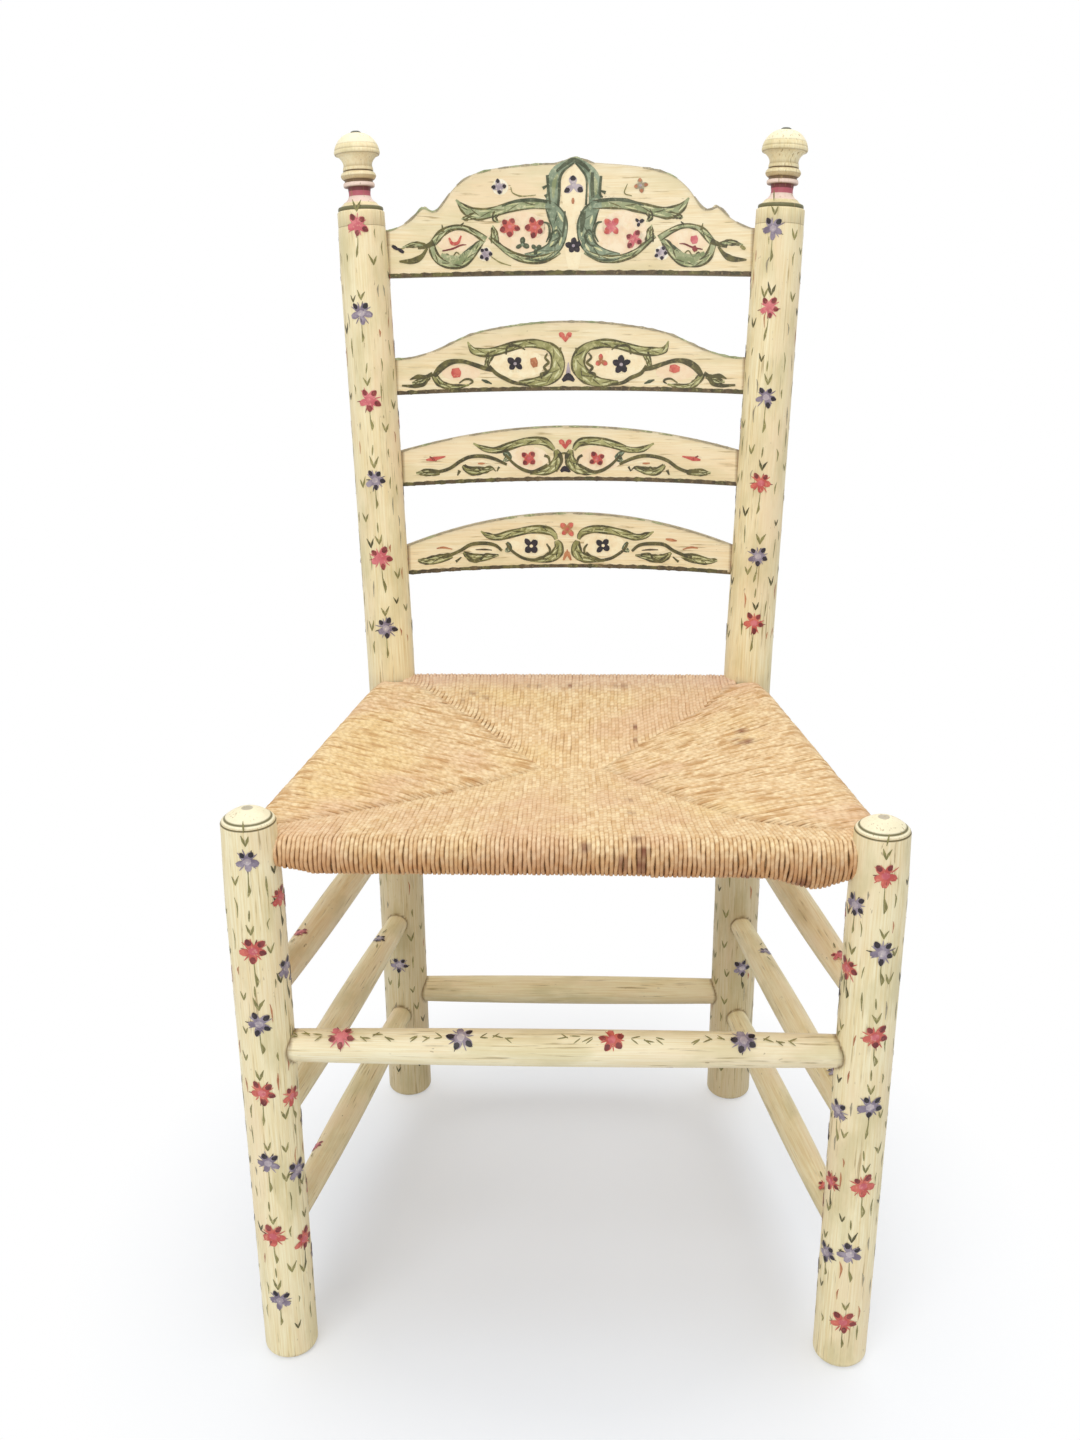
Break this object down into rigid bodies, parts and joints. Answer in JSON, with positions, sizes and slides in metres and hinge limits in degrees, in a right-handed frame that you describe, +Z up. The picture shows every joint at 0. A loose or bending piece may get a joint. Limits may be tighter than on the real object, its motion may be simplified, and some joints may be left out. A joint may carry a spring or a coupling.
{
  "type": "ladder-back side chair",
  "caption": "Armless ladder-back side chair: round painted posts, bowed slats with folk scrollwork, turned finials, dowel stretchers and a woven rush seat.",
  "frame": {"origin": "on the floor under the middle of the chair's footprint box, which takes in the leaning back", "axes": "+Z up, front of the seat towards -Y, +X to the right of a viewer in front of the chair"},
  "size_m": [0.4794, 0.4725, 0.9161],
  "materials": {
    "paint": "aged cream milk paint over wood, hand-painted flowers and scrolls, worn at the edges, satin",
    "bare_wood": "unfinished hardwood",
    "rush": "twisted golden rush cord, matte with a slight straw sheen",
    "dry_rush": "loose dry rush ends, matte",
    "tack_iron": "dark cut tacks, slightly rusty"
  },
  "bodies": {
    "root": {"rear_post_left": "paint", "rear_post_right": "paint", "front_post_left": "paint", "front_post_right": "paint", "crest_slat": "paint", "upper_slat": "paint", "middle_slat": "paint", "lower_slat": "paint", "front_stretcher": "paint", "rear_stretcher": "paint", "left_upper_side_stretcher": "paint", "left_middle_side_stretcher": "paint", "left_lower_side_stretcher": "paint", "right_upper_side_stretcher": "paint", "right_middle_side_stretcher": "paint", "right_lower_side_stretcher": "paint", "front_seat_rail": "bare_wood", "rear_seat_rail": "bare_wood", "left_seat_rail": "bare_wood", "right_seat_rail": "bare_wood", "crest_pegs": "paint", "rush_seat": "rush", "seat_stuffing": "dry_rush", "rush_tacks": "tack_iron"}
  },
  "joints": []
}
